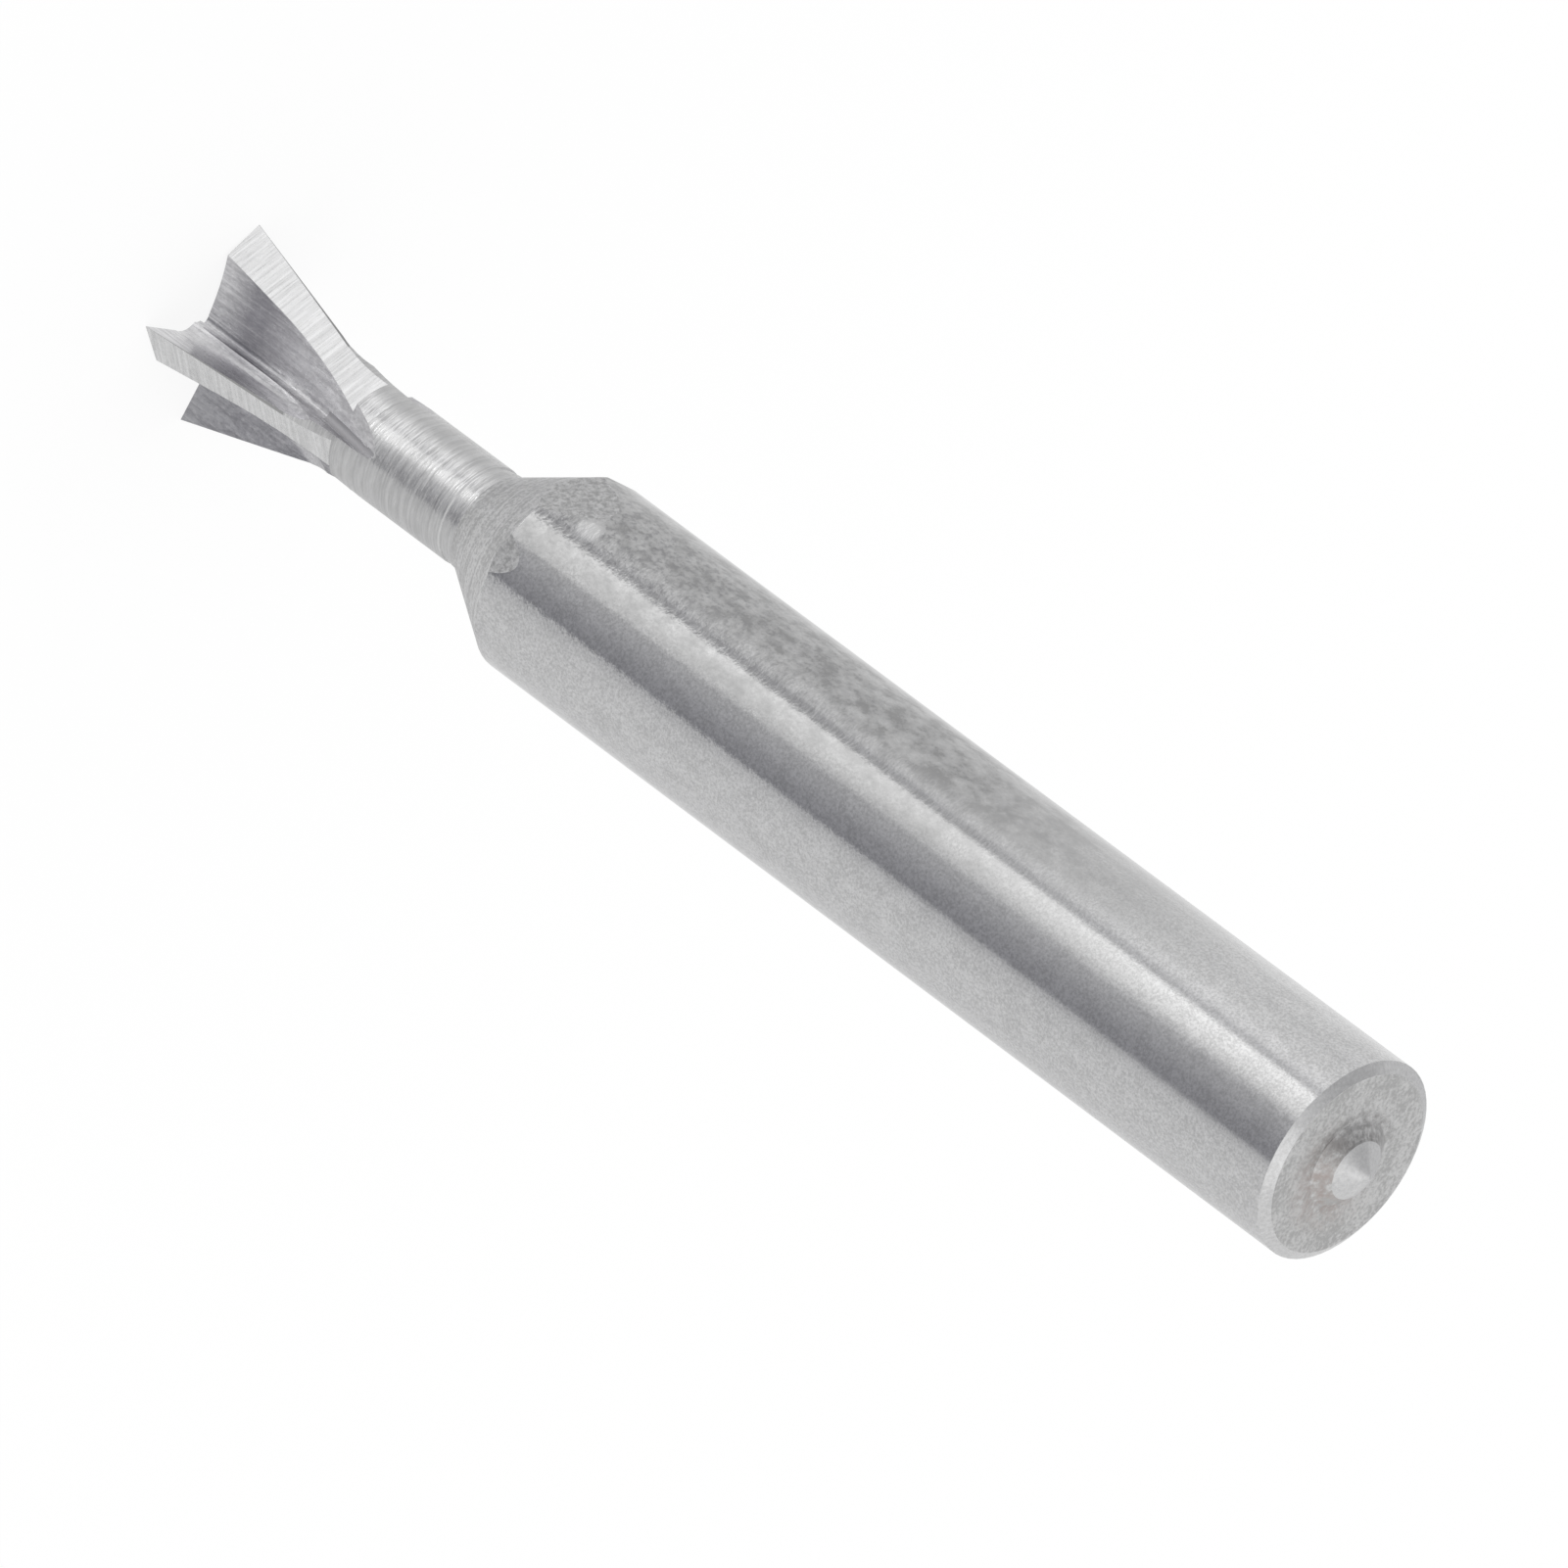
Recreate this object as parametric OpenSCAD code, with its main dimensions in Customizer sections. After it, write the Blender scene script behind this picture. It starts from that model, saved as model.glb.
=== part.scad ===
// Four-flute dovetail cutter with a plain round shank, ground from one bar of tool steel.
// Millimetres. The axis is Z, with the cutting end down: the four tooth corners stand on Z = 0.
// +X runs along the cutting edge of one tooth, and the tool cuts clockwise as seen from the shank.

/* [Overall] */
// Length from the tooth corners to the point of the centre
overall_length = 60; // [50:0.5:80]
// Diameter of the shank
shank_d = 8; // [6:0.5:10]

/* [Head] */
// Diameter across the tooth corners
head_d = 8; // [7:0.25:10]
// Dovetail angle, between the flank and the end face
flank_angle = 75; // [60:1:80]
// Diameter of the neck
neck_d = 4; // [3.6:0.1:5]
// Length of the hollow that leads from the flank into the neck, to each side of their corner
hollow_length = 1.6; // [0.8:0.1:2]
// Depth that the hollow's arc stays clear of the flank and the neck
hollow_sink = 0.01; // [0.01:0.01:0.04]
// Distance from the tooth corners to the start of the shoulder
reach = 14.6; // [12:0.1:20]
// Half angle of the shoulder cone
shoulder_angle = 30; // [20:1:45]
// Width of the tool groove at the shoulder end of the neck
groove_width = 0.5; // [0.2:0.05:1]
// Depth of that groove
groove_depth = 0.05; // [0.02:0.01:0.15]

/* [Flutes] */
// Thickness of the web that is left between opposite flutes
web_thickness = 2; // [1.4:0.1:2.4]
// Radius of the flute floor across the flute
floor_radius = 7; // [5:0.5:10]
// Distance of the flute floor's deepest line ahead of the cutting edge
floor_lead = 0.8; // [0.5:0.05:1.4]
// Distance of the flute wall ahead of the cutting edge
wall_lead = 0.08; // [0.02:0.01:0.15]
// Radius of the corner between the flute's wall and its floor
root_radius = 0.3; // [0.2:0.05:0.6]
// Depth of that corner below the wall and the floor
root_sink = 0.01; // [0.01:0.01:0.04]
// Distance from the tooth corners to the end of the flute on the neck
flute_length = 10.2; // [9:0.1:12]
// Radius of the wheel that ground the flutes
flute_wheel_radius = 25; // [15:1:40]

/* [Teeth] */
// Rake angle of the cutting edges
rake_angle = 7; // [2:0.5:12]
// Radius of the gullet at the foot of the rake face
gullet_radius = 0.8; // [0.6:0.05:1]
// Depth of the gullet below the rake face
gullet_sink = 0.02; // [0.01:0.01:0.1]
// Distance from the axis to the gullet's centre, along the rake face
gullet_offset = 2.15; // [1.8:0.05:2.5]
// Distance from the tooth corners to where the gullet's floor has risen to the neck's radius
gullet_length = 6.9; // [6:0.1:9]
// Radius of the wheel that ground the gullets
gullet_wheel_radius = 7.5; // [5:0.5:15]
// Angle from the cutting edge back to the middle of the flat land, about the axis
land_angle = 38; // [32:0.5:45]
// How much less the land leans than the flank, which leaves a widening margin behind the edge
land_lag = 4.8; // [3:0.1:8]
// Distance that the land runs on past the foot of the flank
land_overrun = 0.6; // [0.1:0.05:1]
// Relief angle of the end teeth
end_relief = 8; // [4:0.5:12]
// Dish angle of the end teeth, towards the axis
end_dish = 0.5; // [0.25:0.25:3]

/* [Shank end] */
// Radial width of the end chamfer
chamfer_width = 0.4; // [0.2:0.05:0.8]
// Height of the end chamfer
chamfer_height = 0.25; // [0.1:0.05:0.6]
// Diameter of the male centre at its foot
centre_foot_d = 3.5; // [2.6:0.1:4.5]
// Diameter of the male centre where its point begins
centre_point_d = 2.35; // [1.2:0.05:2.5]
// Height of the male centre's foot
centre_foot_height = 0.47; // [0.2:0.01:0.8]
// Height of the male centre's point
centre_point_height = 0.68; // [0.4:0.01:1.2]

/* [Hidden] */
$fn = 96;

head_r = head_d / 2;
neck_r = neck_d / 2;
shank_r = shank_d / 2;
flank_lean = 90 - flank_angle;
flank_height = (head_r - neck_r) / tan(flank_lean);
hollow_radius = hollow_length / tan(flank_lean / 2);
hollow_top = flank_height + hollow_length;
shoulder_top = reach + (shank_r - neck_r) / tan(shoulder_angle);
end_face = overall_length - centre_foot_height - centre_point_height;

// Four teeth, so that opposite flutes leave the web between them
tooth_count = 4;
tooth_pitch = 360 / tooth_count;

// Stock below the tooth corners that the end grinding takes away
end_stock = 0.3;
// How far every cut reaches past the surface that it starts from
clear = 1;

// Flats left low beside the shoulder's edge, where the grinding of the shank did not clean up:
// angle from +X, depth at the edge and length along the shank
shoulder_flats = [[74, 0.08, 0.95], [20, 0.32, 2.2], [-19, 0.09, 0.65]];

// The flute floor is an arc about this point, in the frame of a tooth:
// first outwards along the cutting edge, then ahead of it, into the flute
floor_centre = [web_thickness / 2 + floor_radius, floor_lead];
root_height = wall_lead + root_radius - root_sink;
root_reach = sqrt(pow(floor_radius - root_radius + root_sink, 2) - pow(floor_lead - root_height, 2));
root_centre = [floor_centre[0] - root_reach, root_height];

// The gullet's arc dips below the rake face, in the frame of a tooth turned by the rake angle
gullet_centre = [gullet_offset, gullet_radius - gullet_sink];

// Height at which a wheel leaves its straight path to end at the given height on the neck,
// to a thousandth of a millimetre, so that the two stretches of the path meet face to face
function run_out_start(end_height, wheel_radius, floor_distance) =
    let (rise = wheel_radius - (neck_r - floor_distance))
    round(1000 * (end_height - sqrt(pow(wheel_radius, 2) - pow(rise, 2)))) / 1000;

// Turned blank: flank, neck, shoulder, shank and male centre, with stock below the teeth
module turned_blank() {
    groove_top = reach - groove_width / 2;
    groove_foot = groove_top - groove_width;
    groove_r = neck_r - groove_depth;
    hollow_foot = [
        neck_r + hollow_length * sin(flank_lean),
        flank_height - hollow_length * cos(flank_lean)
    ];
    rotate_extrude()
        difference() {
            polygon([
                [0, -end_stock],
                [head_r + end_stock * tan(flank_lean), -end_stock],
                hollow_foot,
                [neck_r, hollow_top],
                [neck_r, groove_foot],
                [groove_r, groove_foot + groove_depth],
                [groove_r, groove_top - groove_depth],
                [neck_r, groove_top],
                [neck_r, reach],
                [shank_r, shoulder_top],
                [shank_r, end_face - chamfer_height],
                [shank_r - chamfer_width, end_face],
                [centre_foot_d / 2, end_face],
                [centre_point_d / 2, end_face + centre_foot_height],
                [0, overall_length]
            ]);
            translate([neck_r + hollow_radius, hollow_top])
                circle(r = hollow_radius - hollow_sink);
        }
}

// Section of a flute in the frame of its tooth: a straight wall, a rounded corner and a round floor
module flute_section() {
    outer = head_r + clear;
    translate(root_centre)
        circle(r = root_radius);
    translate([root_centre[0], wall_lead])
        square([outer - root_centre[0], floor_lead]);
    intersection() {
        translate(floor_centre)
            circle(r = floor_radius);
        translate([0, root_height])
            square([outer, outer]);
    }
}

// Section of the second grind: a rake face, along the first axis, and the gullet at its foot
module gullet_section() {
    translate(gullet_centre)
        circle(r = gullet_radius);
    translate([gullet_offset, 0])
        square([head_r + clear - gullet_offset, gullet_centre[1]]);
}

// Path of a grinding wheel: straight up from below the end, then rising out of the neck.
// The child is the wheel's section in the frame of a tooth.
module wheel_path(start, wheel_radius, floor_distance) {
    rise_angle = 30;
    wheel_axis = floor_distance + wheel_radius;
    translate([0, 0, -clear])
        linear_extrude(start + clear)
            mirror([0, 1])
                children();
    translate([wheel_axis, 0, start])
        mirror([1, 0, 0])
            rotate([90, 0, 0])
                rotate_extrude(angle = rise_angle)
                    translate([wheel_axis, 0])
                        mirror([1, 0])
                            children();
}

// Flute ahead of the tooth on +X
module flute() {
    floor_distance = web_thickness / 2;
    start = run_out_start(flute_length, flute_wheel_radius, floor_distance);
    wheel_path(start, flute_wheel_radius, floor_distance)
        flute_section();
}

// Rake face and gullet of the tooth on +X, ground with the wheel's side turned by the rake angle
module gullet() {
    floor_distance = gullet_offset - gullet_radius;
    start = run_out_start(gullet_length, gullet_wheel_radius, floor_distance);
    translate([head_r, 0, 0])
        rotate([0, 0, -rake_angle])
            translate([-head_r, 0, 0])
                wheel_path(start, gullet_wheel_radius, floor_distance)
                    gullet_section();
}

// Flat land behind the cutting edge of the tooth on +X
module land() {
    lean = flank_lean - land_lag;
    length = (flank_height + land_overrun) / cos(lean);
    translate([head_r, 0, 0])
        rotate([0, 0, land_angle])
            rotate([0, -lean, 0])
                translate([0, -head_r / 2, -clear])
                    cube([head_r, 1.35 * head_r, length + clear]);
}

// End relief of the tooth on +X, hinged on its end cutting edge.
// Its outline slants across the web, which takes in the axis and leaves out the next tooth.
module end_grind() {
    outer = head_r + clear;
    inner = -0.05;
    ahead = -root_radius;
    behind = head_r / 2;
    translate([head_r, 0, 0])
        rotate([0, end_dish, 0])
            rotate([end_relief, 0, 0])
                translate([-head_r, 0, -clear])
                    linear_extrude(clear)
                        polygon([
                            [inner, ahead],
                            [outer, ahead],
                            [outer, behind],
                            [behind - web_thickness / 2, behind],
                            [inner, inner + web_thickness / 2]
                        ]);
}

// Low flat on the shank beside the shoulder's edge
module shoulder_flat(angle, depth, length) {
    lean = atan(depth / length);
    span = shank_r;
    rotate([0, 0, angle])
        translate([shank_r, 0, shoulder_top + length])
            rotate([0, lean, 0])
                translate([0, -span / 2, -2 * length])
                    cube([clear, span, 2 * length]);
}

// One copy of the child at each tooth
module at_each_tooth() {
    for (tooth = [0 : tooth_count - 1])
        rotate([0, 0, tooth * tooth_pitch])
            children();
}

// The blank with its flutes, lands and end teeth, before the second grind
module fluted_blank() {
    difference() {
        turned_blank();
        at_each_tooth()
            flute();
        at_each_tooth()
            land();
        at_each_tooth()
            end_grind();
        for (flat = shoulder_flats)
            shoulder_flat(flat[0], flat[1], flat[2]);
    }
}

// The whole cutter is one piece
module dovetail_cutter() {
    color("silver")
        difference() {
            fluted_blank();
            at_each_tooth()
                gullet();
        }
}

dovetail_cutter();
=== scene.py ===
"""Looks of a four-flute dovetail cutter: ground, turned and fluted steel on a pale studio floor.

Metres, in the frame of the CAD part: the tool axis is Z and the tooth corners stand on Z = 0.
The CAD solid is shown as it is. Its faces are sorted by the operation that made them, and each
sort gets its own steel.
"""

import math

import bpy
from mathutils import Matrix, Vector

MM = 0.001

# Sizes of the cutter in millimetres and its angles, for sorting its faces and placing its marks
SHANK_RADIUS = 4.0
NECK_RADIUS = 2.0
FLANK_HEIGHT = 7.464
HOLLOW_LENGTH = 1.6
FLUTE_LENGTH = 10.2
GULLET_LENGTH = 6.9
WALL_LEAD = 0.08
ROOT_RADIUS = 0.3
REACH = 14.6
END_FACE = 58.85
CHAMFER_HEIGHT = 0.25
CENTRE_FOOT_RADIUS = 1.75
CENTRE_POINT_RADIUS = 1.175
FLANK_LEAN = math.radians(15)
LAND_ANGLE = math.radians(38)
LAND_LEAN = math.radians(10.2)
TOOTH_COUNT = 4
# Tolerances for the sorting in millimetres: a slack, and how far facets lie inside the round blank
SLACK = 0.01
FACET_SAG = 0.03
# Shares of a face's normal: least upwards on the end face, most upwards or downwards on the shank,
# least outwards on a side, and least along a land's own normal on that land
LEVEL = 0.95
UPRIGHT = 0.01
OUTWARD = 0.9
PARALLEL = 0.9998

# Rounding of the edges in millimetres, which only shows as a glint
EDGE_RADIUS = 0.03
EDGE_SAMPLES = 4
# Share of open surroundings at which the painted shade in a crease is full, and at which it ends
CREASE_FULL = 0.55
CREASE_NONE = 0.92
CREASE_SAMPLES = 8
# Range that most of a noise lies in
NOISE_LOW = 0.3
NOISE_HIGH = 0.7

# Floor: its size in metres, its roughness and the share of it that takes the tool's shadow
FLOOR_SIZE = 8.0
FLOOR_ROUGHNESS = 0.9
FLOOR_SHADOW = 0.15

# The photograph's camera, in metres, with the lens and its sensor in millimetres
CAMERA_DISTANCE = 1.086
CAMERA_AZIMUTH = math.radians(64.93)
CAMERA_ELEVATION = math.radians(32.82)
AXIS_SLOPE_IN_IMAGE = math.radians(36.77)
CAMERA_SHIFT_RIGHT = 0.00069
CAMERA_SHIFT_UP = -0.00195
AIM_HEIGHT = 0.02885
LENS = 709.3
SENSOR = 36.0

# Studio light as the metal sees it: level of the surround by compass direction in degrees,
# with a soft box, its sharp near edge and a dark screen beside it
SURROUND = [
    (-180, 0.66),
    (-140, 0.68),
    (-110, 0.82),
    (-90, 0.82),
    (-65, 0.74),
    (-40, 0.71),
    (-25, 0.67),
    (-8, 0.74),
    (5, 0.68),
    (18, 0.58),
    (23, 0.44),
    (27, 0.52),
    (31, 1.12),
    (42, 1.00),
    (53, 0.84),
    (65, 0.46),
    (80, 0.37),
    (90, 0.31),
    (109, 0.26),
    (112, 0.52),
    (122, 0.61),
    (150, 0.66),
    (180, 0.66),
]
# Belt that has these levels: height from -1 straight down to 1 straight up, and the belt's share there
BELT = [(-0.84, 0.0), (-0.60, 1.0), (-0.40, 1.0), (-0.24, 0.0)]
# Level of the rest of the surround, from the side across the camera's view to the opposite side
SKY_SIDE = math.radians(154.9)
SKY = [(-1.0, 0.62), (-0.12, 0.59), (0.0, 0.67), (0.12, 0.74), (0.5, 0.72), (1.0, 0.80)]
# Soft boxes and one dark screen: compass direction, elevation, inner and outer radius in degrees, gain
BOXES = [
    (14.7, -12, 10, 24, 0.50),
    (150, 70, 8, 22, 0.20),
    (-45, 54, 12, 28, -0.16),
    (38, -58, 4, 9, 2.0),
]
# The levels lean to violet as they get dark, by a share of the level times a power of its darkness
VIOLET = 0.18
VIOLET_POWER = 3


def sort_faces(part):
    """Gives each face of the part the material of the operation that made it."""
    sorts = {
        "shank": shank_steel(),
        "chamfer": turned_steel("chamfer_steel", 0.22),
        "end": end_steel("end_steel", CENTRE_FOOT_RADIUS),
        "foot": end_steel("foot_steel", CENTRE_POINT_RADIUS),
        "centre": turned_steel("centre_steel", 0.32),
        "shoulder": shoulder_steel(),
        "flat": unground_steel(),
        "neck": neck_steel(),
        "land": land_steel(),
        "margin": margin_steel(),
        "flute": flute_steel(),
        "root": root_steel(),
    }
    mesh = part.data
    mesh.materials.clear()
    order = list(sorts)
    for name in order:
        mesh.materials.append(sorts[name])
    for face in mesh.polygons:
        face.material_index = order.index(operation(face))


def operation(face):
    """Names the operation that made a face, from where it is and which way it faces."""
    x, y, z = face.center / MM
    radius = math.hypot(x, y)
    normal = face.normal
    outward = (normal.x * x + normal.y * y) / max(radius, SLACK)
    if z > END_FACE - CHAMFER_HEIGHT:
        if radius < CENTRE_POINT_RADIUS:
            return "centre"
        if normal.z > LEVEL:
            return "end"
        return "chamfer" if radius > CENTRE_FOOT_RADIUS else "foot"
    if z > REACH - SLACK:
        if outward < OUTWARD:
            return "shoulder"
        return "shank" if abs(normal.z) < UPRIGHT else "flat"
    if z > FLUTE_LENGTH:
        return "neck"
    if faces_as_land(normal):
        return "land"
    if outward > OUTWARD and radius > blank_radius(z) - FACET_SAG:
        return "neck" if z > FLANK_HEIGHT - HOLLOW_LENGTH else "margin"
    return "root" if z > GULLET_LENGTH and in_flute_corner(x, y) else "flute"


def blank_radius(height):
    """Radius of the turned blank at a height on the flank, in the hollow at its foot or on the neck."""
    hollow_radius = HOLLOW_LENGTH / math.tan(FLANK_LEAN / 2)
    from_top = FLANK_HEIGHT + HOLLOW_LENGTH - height
    if from_top <= 0:
        return NECK_RADIUS
    if from_top < hollow_radius * math.sin(FLANK_LEAN):
        return NECK_RADIUS + hollow_radius - math.sqrt(hollow_radius ** 2 - from_top ** 2)
    return NECK_RADIUS + (FLANK_HEIGHT - height) * math.tan(FLANK_LEAN)


def in_flute_corner(x, y):
    """True in the rounded corner between the wall and the floor of one of the flutes."""
    for tooth in range(TOOTH_COUNT):
        turn = tooth * 2 * math.pi / TOOTH_COUNT
        outwards = x * math.cos(turn) + y * math.sin(turn)
        ahead = x * math.sin(turn) - y * math.cos(turn)
        if outwards > 0 and WALL_LEAD + SLACK < ahead < WALL_LEAD + ROOT_RADIUS:
            return True
    return False


def faces_as_land(normal):
    """True for a face that is parallel to one of the flat lands."""
    for tooth in range(TOOTH_COUNT):
        turn = LAND_ANGLE + tooth * 2 * math.pi / TOOTH_COUNT
        land = Vector((
            math.cos(LAND_LEAN) * math.cos(turn),
            math.cos(LAND_LEAN) * math.sin(turn),
            math.sin(LAND_LEAN),
        ))
        if normal.dot(land) > PARALLEL:
            return True
    return False


class Steel:
    """A metal material with helpers for its node tree. Textures are in millimetres."""

    def __init__(self, name, colour, roughness, rounded=True):
        self.material = bpy.data.materials.new(name)
        self.material.use_nodes = True
        self.tree = self.material.node_tree
        self.shader = self.tree.nodes["Principled BSDF"]
        self.shader.inputs["Metallic"].default_value = 1.0
        self.shader.inputs["Base Color"].default_value = (*colour, 1.0)
        self.shader.inputs["Roughness"].default_value = roughness
        self.place = self.node("ShaderNodeTexCoord").outputs["Object"]
        if rounded:
            edge = self.node("ShaderNodeBevel", samples=EDGE_SAMPLES)
            edge.inputs["Radius"].default_value = EDGE_RADIUS * MM
            self.normal = edge.outputs["Normal"]
        else:
            self.normal = self.node("ShaderNodeNewGeometry").outputs["Normal"]
        self.link(self.normal, self.shader.inputs["Normal"])

    def node(self, kind, **settings):
        made = self.tree.nodes.new(kind)
        for key, value in settings.items():
            setattr(made, key, value)
        return made

    def link(self, source, target):
        self.tree.links.new(source, target)

    def stretched(self, per_mm):
        """The place on the part, scaled to so many texture units per millimetre along X, Y and Z."""
        mapping = self.node("ShaderNodeMapping")
        mapping.inputs["Scale"].default_value = [value / MM for value in per_mm]
        self.link(self.place, mapping.inputs["Vector"])
        return mapping.outputs["Vector"]

    def rings(self, per_mm):
        """A coordinate that follows the distance from the tool axis, for faces turned end on."""
        flat = self.node("ShaderNodeVectorMath", operation="MULTIPLY")
        flat.inputs[1].default_value = (per_mm / MM, per_mm / MM, 0.0)
        self.link(self.place, flat.inputs[0])
        length = self.node("ShaderNodeVectorMath", operation="LENGTH")
        self.link(flat.outputs["Vector"], length.inputs[0])
        along = self.node("ShaderNodeCombineXYZ")
        self.link(length.outputs["Value"], along.inputs["X"])
        return along.outputs["Vector"]

    def noise(self, vector, detail=3.0, roughness=0.6):
        texture = self.node("ShaderNodeTexNoise")
        texture.inputs["Scale"].default_value = 1.0
        texture.inputs["Detail"].default_value = detail
        texture.inputs["Roughness"].default_value = roughness
        self.link(vector, texture.inputs["Vector"])
        return texture.outputs["Fac"]

    def ranged(self, value, from_low, from_high, to_low, to_high):
        """The value mapped from one range to another, and held inside it."""
        mapped = self.node("ShaderNodeMapRange")
        mapped.inputs["From Min"].default_value = from_low
        mapped.inputs["From Max"].default_value = from_high
        mapped.inputs["To Min"].default_value = to_low
        mapped.inputs["To Max"].default_value = to_high
        self.link(value, mapped.inputs["Value"])
        return mapped.outputs["Result"]

    def spread(self, value, none, full):
        """Goes from 0 to 1 as the value goes from one level to another."""
        return self.ranged(value, none, full, 0.0, 1.0)

    def times(self, first, second):
        product = self.node("ShaderNodeMath", operation="MULTIPLY")
        self.link(first, product.inputs[0])
        self.link(second, product.inputs[1])
        return product.outputs["Value"]

    def blend(self, first, second, share):
        """The two values mixed, with this share of the second."""
        mixed = self.node("ShaderNodeMix")
        mixed.inputs["Factor"].default_value = share
        self.link(first, mixed.inputs["A"])
        self.link(second, mixed.inputs["B"])
        return mixed.outputs["Result"]

    def vary_roughness(self, value, low, high):
        """Roughness from low to high as the value crosses the range that most of a noise lies in."""
        varied = self.ranged(value, NOISE_LOW, NOISE_HIGH, low, high)
        self.link(varied, self.shader.inputs["Roughness"])

    def vary_colour(self, value, low, high):
        """Base colour from low to high as the value goes from 0 to 1."""
        mixed = self.node("ShaderNodeMix", data_type="RGBA")
        mixed.inputs["A"].default_value = (*low, 1.0)
        mixed.inputs["B"].default_value = (*high, 1.0)
        self.link(value, mixed.inputs["Factor"])
        self.colour = mixed.outputs["Result"]
        self.link(self.colour, self.shader.inputs["Base Color"])

    def cover(self, value, colour):
        """Turns the varied base colour to another where the value is 1."""
        mixed = self.node("ShaderNodeMix", data_type="RGBA")
        self.link(self.colour, mixed.inputs["A"])
        mixed.inputs["B"].default_value = (*colour, 1.0)
        self.link(value, mixed.inputs["Factor"])
        self.colour = mixed.outputs["Result"]
        self.link(self.colour, self.shader.inputs["Base Color"])

    def by_height(self, full, none):
        """Goes from 1 at one height along the tool axis, in millimetres, to 0 at another."""
        height = self.node("ShaderNodeSeparateXYZ")
        self.link(self.stretched((1.0, 1.0, 1.0)), height.inputs["Vector"])
        return self.ranged(height.outputs["Z"], full, none, 1.0, 0.0)

    def near_axis(self, full, none):
        """1 up to one distance from the tool axis in millimetres, falling to 0 at another."""
        radius = self.node("ShaderNodeSeparateXYZ")
        self.link(self.rings(1.0), radius.inputs["Vector"])
        return self.ranged(radius.outputs["X"], full, none, 1.0, 0.0)

    def on_side(self, degrees, none, full):
        """Rises from 0 to 1 towards one side of the tool axis, between two cosines of the angle to it."""
        angle = math.radians(degrees)
        flat = self.node("ShaderNodeVectorMath", operation="MULTIPLY")
        flat.inputs[1].default_value = (1.0, 1.0, 0.0)
        self.link(self.place, flat.inputs[0])
        outward = self.node("ShaderNodeVectorMath", operation="NORMALIZE")
        self.link(flat.outputs["Vector"], outward.inputs[0])
        along = self.node("ShaderNodeVectorMath", operation="DOT_PRODUCT")
        along.inputs[1].default_value = (math.cos(angle), math.sin(angle), 0.0)
        self.link(outward.outputs["Vector"], along.inputs[0])
        return self.spread(along.outputs["Value"], none, full)

    def spot(self, degrees, height, radius, soft):
        """1 inside a round spot on one side of the shank, falling to 0 over a soft rim in millimetres."""
        angle = math.radians(degrees)
        middle = (SHANK_RADIUS * math.cos(angle), SHANK_RADIUS * math.sin(angle), height)
        away = self.node("ShaderNodeVectorMath", operation="DISTANCE")
        self.link(self.stretched((1.0, 1.0, 1.0)), away.inputs[0])
        away.inputs[1].default_value = middle
        return self.ranged(away.outputs["Value"], radius - soft, radius + soft, 1.0, 0.0)

    def crease_shade(self, reach, most):
        """Painted shade: rises from 0 to the most in corners that the part closes in within a reach in
        millimetres.
        """
        open_sky = self.node("ShaderNodeAmbientOcclusion", samples=CREASE_SAMPLES, only_local=True)
        open_sky.inputs["Distance"].default_value = reach * MM
        return self.ranged(open_sky.outputs["AO"], CREASE_FULL, CREASE_NONE, most, 0.0)

    def bump(self, value, depth):
        """Raises the surface by the value times a depth in millimetres, on top of earlier bumps."""
        bump = self.node("ShaderNodeBump")
        bump.inputs["Distance"].default_value = depth * MM
        self.link(value, bump.inputs["Height"])
        self.link(self.normal, bump.inputs["Normal"])
        self.normal = bump.outputs["Normal"]
        self.link(self.normal, self.shader.inputs["Normal"])


def grey(level):
    """A neutral colour."""
    return (level, level, level)


def shank_steel():
    """Ground shank: nearly polished, with a film, pits and flecks on the way to the shoulder.

    The film and the pits are dull and lie on one side, with one light spot among them.
    """
    steel = Steel("shank_steel", grey(0.74), 0.12)
    stains = steel.noise(steel.stretched((1.6, 1.6, 1.1)), detail=2.0)
    grain = steel.noise(steel.stretched((9.0, 9.0, 9.0)), detail=3.0, roughness=0.8)
    mottle = steel.blend(stains, grain, 0.82)
    steel.vary_colour(steel.spread(mottle, 0.40, 0.60), grey(0.62), grey(0.86))
    specks = steel.noise(steel.stretched((5.0, 5.0, 4.0)), detail=4.0, roughness=0.7)
    pits = steel.times(steel.ranged(specks, 0.50, 0.62, 0.0, 0.7), steel.on_side(24, 0.85, 0.97))
    pits = steel.times(pits, steel.by_height(22.0, 36.0))
    broad = steel.on_side(15, 0.60, 0.74)
    dense = steel.on_side(10, 0.86, 0.95)
    film = steel.times(steel.blend(broad, dense, 0.34), steel.by_height(38.0, 52.0))
    cloudy = steel.blend(steel.blend(specks, grain, 0.6), stains, 0.45)
    film = steel.times(film, steel.ranged(cloudy, 0.43, 0.57, 0.3, 1.0))
    steel.cover(film, grey(0.39))
    steel.cover(pits, (0.34, 0.34, 0.35))
    steel.cover(steel.spot(37, 20.25, 0.50, 0.14), grey(0.76))
    steel.vary_roughness(steel.by_height(20.0, 58.0), 0.12, 0.05)
    steel.bump(grain, 0.0018)
    flecks = steel.noise(steel.stretched((3.5, 3.5, 7.0)), detail=2.0)
    steel.bump(steel.times(flecks, steel.by_height(20.0, 56.0)), 0.009)
    return steel.material


def turned_steel(name, roughness):
    """Turned end surfaces: fine rings about the tool axis."""
    steel = Steel(name, grey(0.78), roughness)
    rings = steel.noise(steel.rings(6.0), detail=3.0)
    grain = steel.noise(steel.stretched((7.0, 7.0, 7.0)), detail=3.0, roughness=0.7)
    steel.vary_colour(steel.spread(grain, 0.35, 0.65), grey(0.68), grey(0.82))
    steel.bump(rings, 0.012)
    steel.bump(grain, 0.005)
    return steel.material


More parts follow.
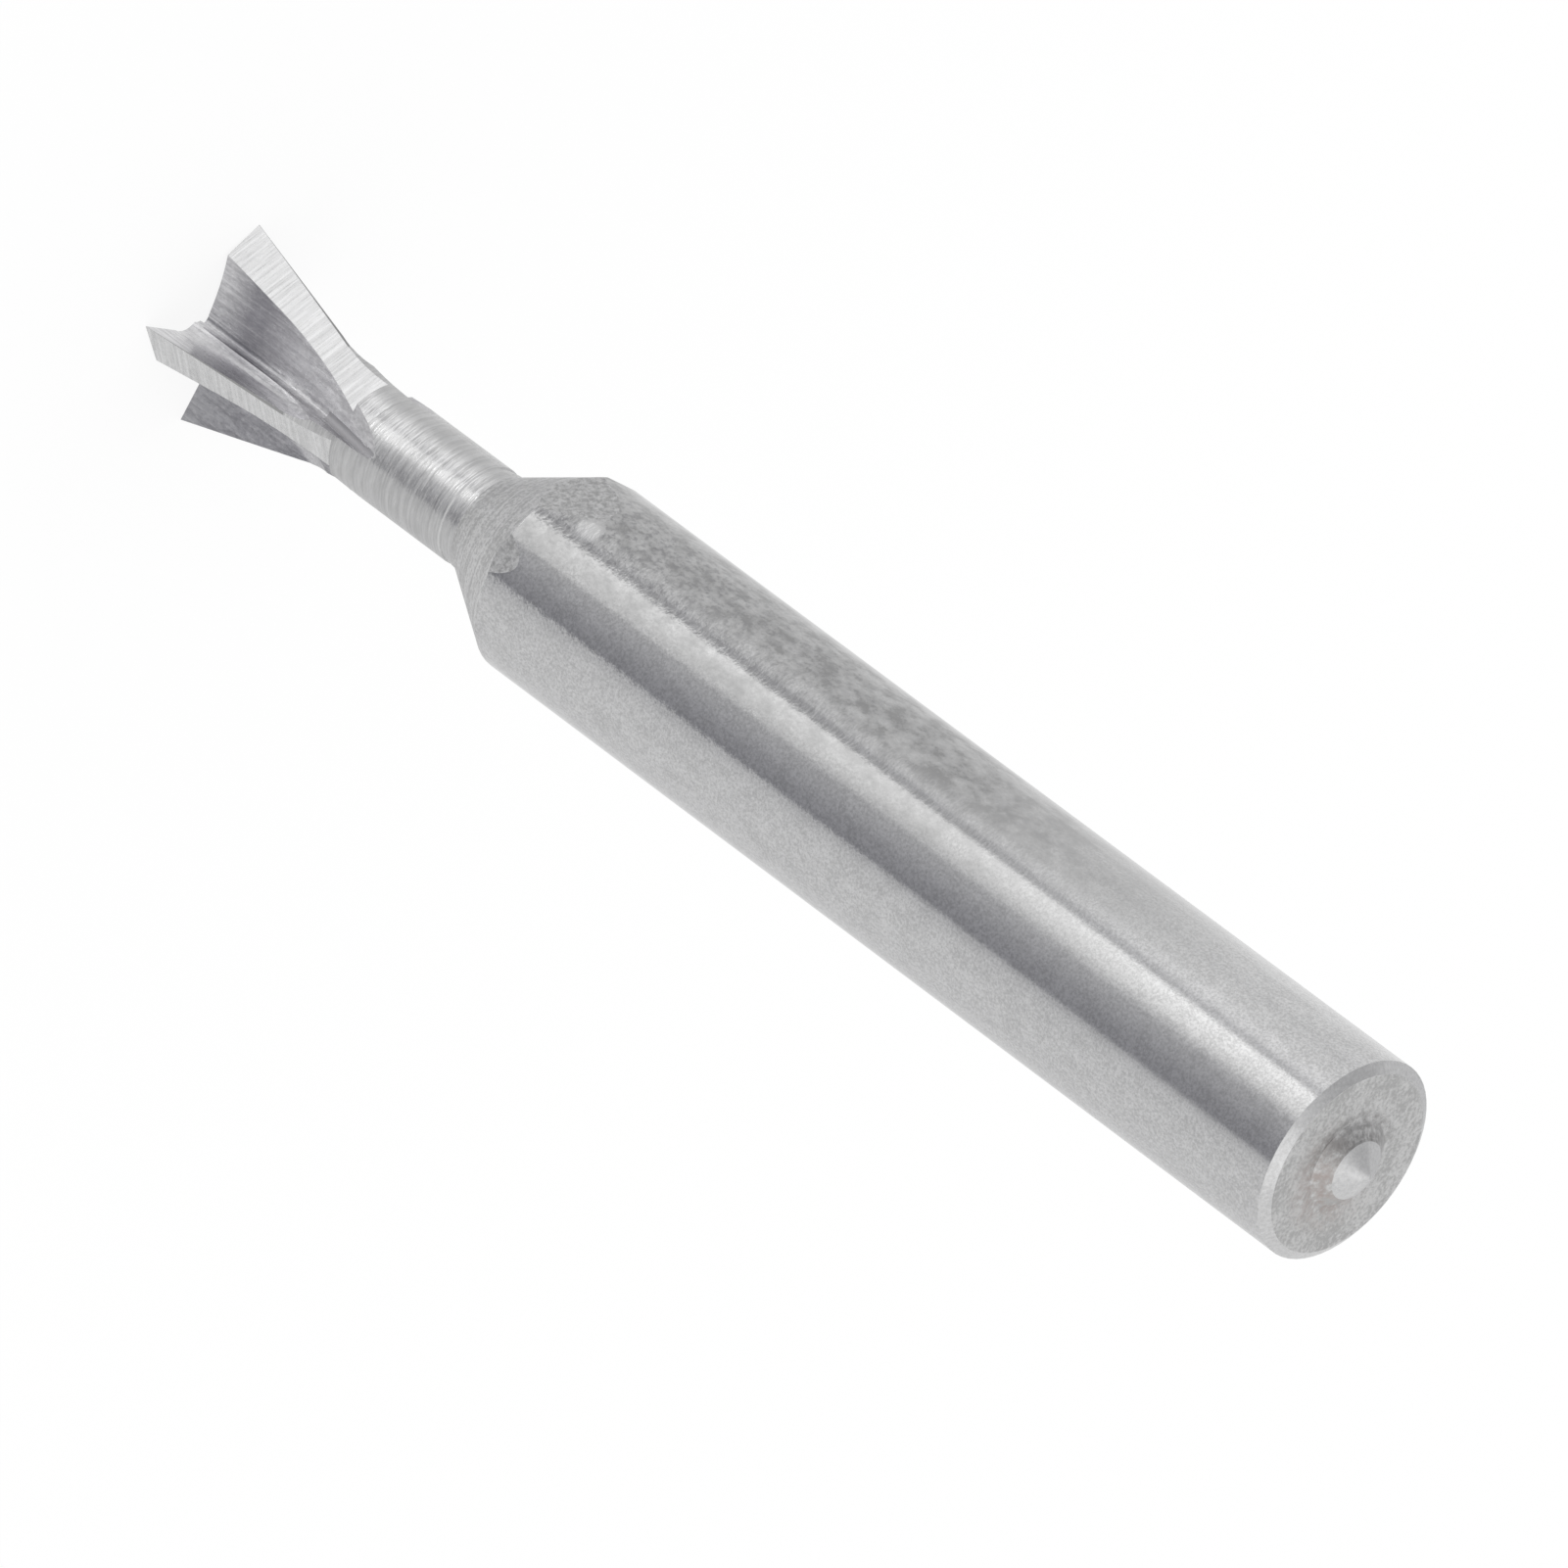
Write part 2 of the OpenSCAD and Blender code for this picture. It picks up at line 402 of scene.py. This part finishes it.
def end_steel(name, clean_radius):
    """Faced end: faint rings, with brownish dirt on one side and dark arcs on the other, from the
    centre's point outwards.
    """
    steel = Steel(name, grey(0.72), 0.34)
    rings = steel.noise(steel.rings(5.0), detail=3.0)
    grain = steel.noise(steel.stretched((6.0, 6.0, 6.0)), detail=3.0, roughness=0.7)
    patches = steel.noise(steel.stretched((2.6, 2.6, 2.6)), detail=5.0, roughness=0.7)
    cloud = steel.noise(steel.stretched((0.8, 0.8, 0.8)), detail=3.0)
    worn = steel.spread(steel.blend(cloud, grain, 0.6), 0.43, 0.57)
    steel.vary_colour(worn, (0.54, 0.54, 0.535), (0.77, 0.77, 0.765))
    stain = steel.times(steel.near_axis(1.8, 3.0), steel.on_side(135, -0.3, 0.8))
    stain = steel.times(stain, steel.spread(patches, 0.36, 0.60))
    steel.cover(stain, (0.50, 0.45, 0.43))
    # Dark arcs round the centre on one side, strongest near it.
    dark_arcs = steel.times(steel.near_axis(clean_radius + 0.1, 2.3), steel.on_side(12, 0.1, 0.7))
    arcs = steel.noise(steel.rings(3.5), detail=3.0)
    dark_arcs = steel.times(dark_arcs, steel.ranged(steel.blend(patches, arcs, 0.4), 0.42, 0.56, 0.1, 0.8))
    steel.cover(dark_arcs, (0.22, 0.21, 0.21))
    steel.vary_roughness(grain, 0.28, 0.44)
    steel.bump(rings, 0.008)
    steel.bump(grain, 0.006)
    return steel.material


def shoulder_steel():
    """Shoulder cone: matte, as turned."""
    steel = Steel("shoulder_steel", grey(0.74), 0.40)
    rings = steel.noise(steel.stretched((0.4, 0.4, 6.0)), detail=3.0)
    grain = steel.noise(steel.stretched((7.0, 7.0, 7.0)), detail=3.0, roughness=0.8)
    mottle = steel.blend(rings, grain, 0.6)
    steel.vary_colour(steel.spread(mottle, 0.44, 0.56), grey(0.55), grey(0.81))
    steel.vary_roughness(grain, 0.34, 0.46)
    steel.bump(rings, 0.016)
    steel.bump(grain, 0.012)
    return steel.material


def unground_steel():
    """Low flats beside the shoulder that the shank's grinding missed: dull and mottled."""
    steel = Steel("unground_steel", grey(0.66), 0.5)
    grain = steel.noise(steel.stretched((5.0, 5.0, 5.0)), detail=4.0, roughness=0.8)
    steel.vary_colour(steel.spread(grain, 0.40, 0.60), grey(0.45), grey(0.74))
    steel.vary_roughness(grain, 0.42, 0.56)
    steel.bump(grain, 0.016)
    return steel.material


def neck_steel():
    """Turned neck: feed marks round it, broken by coarser torn ones, and a painted highlight on one side.
    """
    steel = Steel("neck_steel", grey(0.74), 0.20)
    feed = steel.noise(steel.stretched((0.25, 0.25, 11.0)), detail=2.0)
    torn = steel.noise(steel.stretched((1.2, 1.2, 5.0)), detail=4.0, roughness=0.7)
    marks = steel.blend(feed, torn, 0.5)
    steel.vary_colour(steel.spread(marks, 0.40, 0.60), grey(0.59), grey(0.73))
    # Painted highlight: the marks turn lighter on the side where the soft box shows in the neck.
    painted_highlight = steel.on_side(48, 0.84, 0.97)
    painted_highlight = steel.times(painted_highlight, steel.ranged(marks, 0.42, 0.55, 0.2, 0.9))
    steel.cover(painted_highlight, grey(0.89))
    steel.vary_roughness(torn, 0.14, 0.28)
    steel.bump(feed, 0.020)
    steel.bump(torn, 0.024)
    return steel.material


def land_steel():
    """Flat ground land: grinding lines across it."""
    steel = Steel("land_steel", grey(0.82), 0.28)
    lines = steel.noise(steel.stretched((0.3, 0.3, 7.0)), detail=3.0, roughness=0.7)
    speckle = steel.noise(steel.stretched((6.0, 6.0, 8.0)), detail=3.0, roughness=0.8)
    marks = steel.blend(lines, speckle, 0.35)
    steel.vary_colour(steel.spread(marks, 0.36, 0.62), grey(0.64), grey(0.91))
    steel.vary_roughness(speckle, 0.22, 0.36)
    steel.bump(lines, 0.020)
    steel.bump(speckle, 0.006)
    return steel.material


def margin_steel():
    """Narrow margin of the turned flank that the lands left standing: turning rings, with a dark grey
    that is painted shade along the land's edge.
    """
    steel = Steel("margin_steel", grey(0.40), 0.30)
    rings = steel.noise(steel.stretched((0.4, 0.4, 6.0)), detail=3.0)
    steel.bump(rings, 0.010)
    return steel.material


def flute_steel():
    """Flutes and rake faces: lines along the wheel's travel, a painted highlight near the tooth tips, one
    tarnished flute, darker towards the run-out and painted shade in the corners.
    """
    steel = Steel("flute_steel", (0.67, 0.665, 0.68), 0.22, rounded=False)
    lines = steel.noise(steel.stretched((6.0, 6.0, 0.25)), detail=3.0, roughness=0.6)
    speckle = steel.noise(steel.stretched((7.0, 7.0, 3.0)), detail=3.0, roughness=0.8)
    marks = steel.blend(lines, speckle, 0.5)
    steel.vary_colour(steel.spread(marks, 0.40, 0.60), (0.59, 0.585, 0.60), (0.87, 0.865, 0.88))
    # Painted highlight: the rake faces turn lighter near the tooth tips on one side.
    tip_highlight = steel.times(steel.by_height(0.4, 2.2), steel.on_side(150, 0.3, 0.7))
    steel.cover(steel.times(tip_highlight, steel.ranged(marks, 0.40, 0.60, 0.4, 0.9)), grey(0.93))
    tarnish = steel.times(steel.by_height(1.9, 0.6), steel.by_height(2.6, 4.6))
    tarnish = steel.times(tarnish, steel.on_side(46, 0.60, 0.85))
    steel.cover(steel.times(tarnish, steel.ranged(marks, 0.40, 0.60, 1.0, 0.7)), (0.30, 0.295, 0.32))
    # The flutes turn darker towards their run-out into the neck.
    run_out = steel.times(steel.by_height(8.0, 5.5), steel.ranged(marks, 0.40, 0.60, 0.6, 0.3))
    steel.cover(run_out, (0.42, 0.415, 0.43))
    # Painted shade: the flutes darken in the corners that the part closes in.
    steel.cover(steel.crease_shade(0.35, 0.45), (0.24, 0.235, 0.25))
    steel.vary_roughness(speckle, 0.18, 0.28)
    steel.bump(lines, 0.012)
    steel.bump(speckle, 0.003)
    return steel.material


def root_steel():
    """Corners of the flutes at their run-out: darker grey and dull."""
    return Steel("root_steel", (0.50, 0.495, 0.51), 0.55, rounded=False).material


def set_stops(ramp, stops):
    """Gives a colour ramp its stops: positions from 0 to 1, in rising order, and their levels."""
    for index, (position, level) in enumerate(stops):
        made = index < len(ramp.elements)
        element = ramp.elements[index] if made else ramp.elements.new(position)
        element.position = position
        violet = VIOLET * level * max(0.0, 1.0 - level) ** VIOLET_POWER
        element.color = (level, level, level + violet, 1.0)


def toward(azimuth, elevation):
    """Unit vector of a direction given in degrees."""
    turn = math.radians(azimuth)
    rise = math.radians(elevation)
    return (math.cos(rise) * math.cos(turn), math.cos(rise) * math.sin(turn), math.sin(rise))


def light_studio():
    """World that is white to the camera, plain to the floor and a studio surround to the metal."""
    world = bpy.data.worlds.new("studio")
    bpy.context.scene.world = world
    world.use_nodes = True
    nodes = world.node_tree.nodes
    link = world.node_tree.links.new
    nodes.clear()

    def ramp_over(value, low, high, stops):
        """A ramp of levels over a value that runs from low to high."""
        share = nodes.new("ShaderNodeMapRange")
        share.inputs["From Min"].default_value = low
        share.inputs["From Max"].default_value = high
        link(value, share.inputs["Value"])
        ramp = nodes.new("ShaderNodeValToRGB")
        set_stops(ramp.color_ramp, [((place - low) / (high - low), level) for place, level in stops])
        link(share.outputs["Result"], ramp.inputs["Fac"])
        return ramp.outputs["Color"]

    def along(vector):
        """Cosine of the angle between the ray and a vector."""
        product = nodes.new("ShaderNodeVectorMath")
        product.operation = "DOT_PRODUCT"
        product.inputs[1].default_value = vector
        link(direction, product.inputs[0])
        return product.outputs["Value"]

    direction = nodes.new("ShaderNodeTexCoord").outputs["Generated"]
    parts = nodes.new("ShaderNodeSeparateXYZ")
    link(direction, parts.inputs["Vector"])
    compass = nodes.new("ShaderNodeMath")
    compass.operation = "ARCTAN2"
    link(parts.outputs["Y"], compass.inputs[0])
    link(parts.outputs["X"], compass.inputs[1])
    turns = [(math.radians(degrees), level) for degrees, level in SURROUND]
    belt = ramp_over(compass.outputs["Value"], -math.pi, math.pi, turns)
    rows = ramp_over(parts.outputs["Z"], -1.0, 1.0, BELT)
    sky = ramp_over(along((math.cos(SKY_SIDE), math.sin(SKY_SIDE), 0.0)), -1.0, 1.0, SKY)
    surround = nodes.new("ShaderNodeMix")
    surround.data_type = "RGBA"
    link(rows, surround.inputs["Factor"])
    link(sky, surround.inputs["A"])
    link(belt, surround.inputs["B"])
    light = surround.outputs["Result"]
    for azimuth, elevation, inner, outer, gain in BOXES:
        box = nodes.new("ShaderNodeMapRange")
        box.inputs["From Min"].default_value = math.cos(math.radians(outer))
        box.inputs["From Max"].default_value = math.cos(math.radians(inner))
        box.inputs["To Max"].default_value = gain
        link(along(toward(azimuth, elevation)), box.inputs["Value"])
        lit = nodes.new("ShaderNodeVectorMath")
        link(light, lit.inputs[0])
        link(box.outputs["Result"], lit.inputs[1])
        light = lit.outputs["Vector"]

    for_metal = nodes.new("ShaderNodeBackground")
    link(light, for_metal.inputs["Color"])
    plain = nodes.new("ShaderNodeBackground")
    plain.inputs["Color"].default_value = (1.0, 1.0, 1.0, 1.0)
    path = nodes.new("ShaderNodeLightPath")
    mixed = nodes.new("ShaderNodeMixShader")
    link(path.outputs["Is Glossy Ray"], mixed.inputs["Fac"])
    link(plain.outputs["Background"], mixed.inputs[1])
    link(for_metal.outputs["Background"], mixed.inputs[2])
    output = nodes.new("ShaderNodeOutputWorld")
    link(mixed.outputs["Shader"], output.inputs["Surface"])


def lay_floor():
    """Pale floor that is white to the camera and keeps the tool's soft shadow."""
    bpy.ops.mesh.primitive_plane_add(size=FLOOR_SIZE)
    floor = bpy.context.object
    floor.name = "floor"
    floor.visible_glossy = False
    material = bpy.data.materials.new("floor_paper")
    material.use_nodes = True
    tree = material.node_tree
    shader = tree.nodes["Principled BSDF"]
    shader.inputs["Base Color"].default_value = (1.0, 1.0, 1.0, 1.0)
    shader.inputs["Roughness"].default_value = FLOOR_ROUGHNESS
    glow = tree.nodes.new("ShaderNodeEmission")
    blend = tree.nodes.new("ShaderNodeMixShader")
    blend.inputs["Fac"].default_value = FLOOR_SHADOW
    tree.links.new(glow.outputs["Emission"], blend.inputs[1])
    tree.links.new(shader.outputs["BSDF"], blend.inputs[2])
    output = tree.nodes["Material Output"]
    tree.links.new(blend.outputs["Shader"], output.inputs["Surface"])
    floor.data.materials.append(material)


def place_camera():
    """Camera of the photograph: far off, looking down on the tool, and rolled."""
    flat = math.cos(CAMERA_ELEVATION)
    back = Vector((
        flat * math.cos(CAMERA_AZIMUTH),
        flat * math.sin(CAMERA_AZIMUTH),
        math.sin(CAMERA_ELEVATION),
    ))
    axis = (Vector((0, 0, 1)) - back.z * back).normalized()
    across = back.cross(axis)
    slope = AXIS_SLOPE_IN_IMAGE
    right = math.cos(slope) * axis + math.sin(slope) * across
    up = math.cos(slope) * across - math.sin(slope) * axis
    place = Vector((0, 0, AIM_HEIGHT)) + CAMERA_DISTANCE * back
    place += CAMERA_SHIFT_RIGHT * right + CAMERA_SHIFT_UP * up
    turn = Matrix((right, up, back)).transposed().to_4x4()
    data = bpy.data.cameras.new("camera")
    data.lens = LENS
    data.sensor_width = SENSOR
    camera = bpy.data.objects.new("camera", data)
    camera.matrix_world = Matrix.Translation(place) @ turn
    bpy.context.scene.collection.objects.link(camera)
    bpy.context.scene.camera = camera


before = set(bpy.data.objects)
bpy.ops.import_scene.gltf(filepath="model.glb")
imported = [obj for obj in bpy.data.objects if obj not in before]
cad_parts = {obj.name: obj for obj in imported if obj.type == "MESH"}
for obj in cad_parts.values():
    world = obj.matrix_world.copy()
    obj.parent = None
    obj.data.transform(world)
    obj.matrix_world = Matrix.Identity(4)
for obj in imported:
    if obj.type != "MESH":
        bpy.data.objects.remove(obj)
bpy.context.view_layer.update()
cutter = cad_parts["dovetail_cutter"]
sort_faces(cutter)
lay_floor()
light_studio()
place_camera()
bpy.context.scene.view_settings.view_transform = "Standard"
